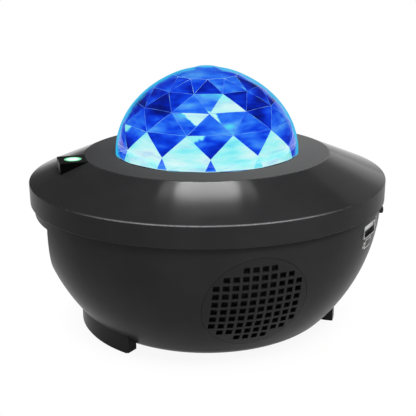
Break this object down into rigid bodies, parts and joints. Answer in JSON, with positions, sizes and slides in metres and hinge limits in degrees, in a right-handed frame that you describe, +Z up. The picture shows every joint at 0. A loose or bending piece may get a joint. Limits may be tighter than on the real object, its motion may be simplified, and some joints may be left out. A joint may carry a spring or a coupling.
{
  "type": "star night light projector",
  "caption": "Bowl-shaped star and water-wave night light projector with a faceted blue dome, a laser window, a speaker grille and side push buttons.",
  "frame": {"origin": "on the floor under the middle of the round rim", "axes": "+Z up through the dome, -Y out of the speaker at the front, +X to the right seen from the front"},
  "size_m": [0.169, 0.169, 0.122],
  "materials": {
    "case_black": "fine moulded texture, matte black",
    "grille_black": "fine moulded texture, matte black",
    "pod_black": "smooth satin black",
    "dome_clear_blue": "clear polycarbonate, faceted inside, lit blue from below",
    "window_green": "clear pale green window",
    "pad_rubber": "soft matte black rubber",
    "screw_steel": "zinc-plated steel",
    "socket_steel": "nickel-plated folded sheet",
    "tongue_black": "moulded black contact carrier",
    "board_green": "printed circuit board with solder mask",
    "chip_black": "moulded chip packages",
    "led_yellow": "LED chips",
    "lens_clear": "clear moulded lens",
    "sink_aluminium": "extruded aluminium",
    "axle_steel": "ground steel",
    "motor_steel": "drawn steel case",
    "gear_white": "white acetal",
    "disc_clear": "clear rippled acrylic",
    "tray_black": "black moulded tray",
    "laser_brass": "turned brass barrel",
    "cone_paper": "dark pressed paper cone with rubber edge",
    "magnet_grey": "ferrite magnet between steel plates",
    "basket_steel": "black pressed steel basket",
    "print_white": "thin printed ink marks"
  },
  "bodies": {
    "housing": {"top_cover": "case_black", "lower_bowl": "case_black", "left_foot_pad": "pad_rubber", "right_foot_pad": "pad_rubber", "dome_lens": "dome_clear_blue", "dome_ring": "tray_black", "ring_screws": "screw_steel", "case_screws": "screw_steel", "speaker_grille": "grille_black", "speaker_frame": "basket_steel", "speaker_cone": "cone_paper", "speaker_magnet": "magnet_grey", "optics_tray": "tray_black", "led_board": "board_green", "led_chips": "led_yellow", "led_lenses": "lens_clear", "heat_sink": "sink_aluminium", "disc_axle": "axle_steel", "axle_clip": "axle_steel", "wave_motor": "motor_steel", "laser_pod": "pod_black", "laser_window": "window_green", "laser_bracket": "tray_black", "laser_module": "laser_brass", "grating_motor": "motor_steel", "usb_shell": "socket_steel", "usb_tongue": "tongue_black", "port_board": "board_green", "inlet_shell": "socket_steel", "inlet_tongue": "tongue_black", "inlet_board": "board_green", "button_board": "board_green", "button_switches": "chip_black", "main_board": "board_green", "board_screws": "screw_steel", "board_parts": "chip_black"},
    "wave_disc": {"disc_gear": "gear_white", "wave_disc": "disc_clear"},
    "wave_pinion": {"motor_shaft": "axle_steel", "motor_pinion": "gear_white"},
    "star_grating": {"grating_shaft": "axle_steel", "star_grating": "disc_clear"},
    "button_1": {"button_1": "case_black"},
    "button_2": {"button_2": "case_black"},
    "button_3": {"button_3": "case_black"},
    "button_4": {"button_4": "case_black"}
  },
  "joints": [
    {"name": "wave_disc_spin", "type": "hinge", "parent": "housing", "child": "wave_disc", "pos_m": [0, 0, 0.0763], "axis": [0, 0, 1], "continuous": true},
    {"name": "pinion_spin", "type": "hinge", "parent": "housing", "child": "wave_pinion", "pos_m": [0.033, 0, 0.0753], "axis": [0, 0, 1], "continuous": true},
    {"name": "grating_spin", "type": "hinge", "parent": "housing", "child": "star_grating", "pos_m": [-0.052, 0, 0.0733], "axis": [0, 0, 1], "continuous": true},
    {"name": "button_1_press", "type": "slide", "parent": "housing", "child": "button_1", "axis": [-0.9848, 0.1736, 0], "range_m": [0, 0.0008], "stiffness_N_per_m": 800, "springref_m": -0.0005},
    {"name": "button_2_press", "type": "slide", "parent": "housing", "child": "button_2", "axis": [-0.9848, 0.1736, 0], "range_m": [0, 0.0008], "stiffness_N_per_m": 800, "springref_m": -0.0005},
    {"name": "button_3_press", "type": "slide", "parent": "housing", "child": "button_3", "axis": [-0.9848, 0.1736, 0], "range_m": [0, 0.0008], "stiffness_N_per_m": 800, "springref_m": -0.0005},
    {"name": "button_4_press", "type": "slide", "parent": "housing", "child": "button_4", "axis": [-0.9848, 0.1736, 0], "range_m": [0, 0.0008], "stiffness_N_per_m": 800, "springref_m": -0.0005}
  ],
  "couplings": [
    {"joint": "pinion_spin", "follows": "wave_disc_spin", "ratio": -5.6}
  ]
}
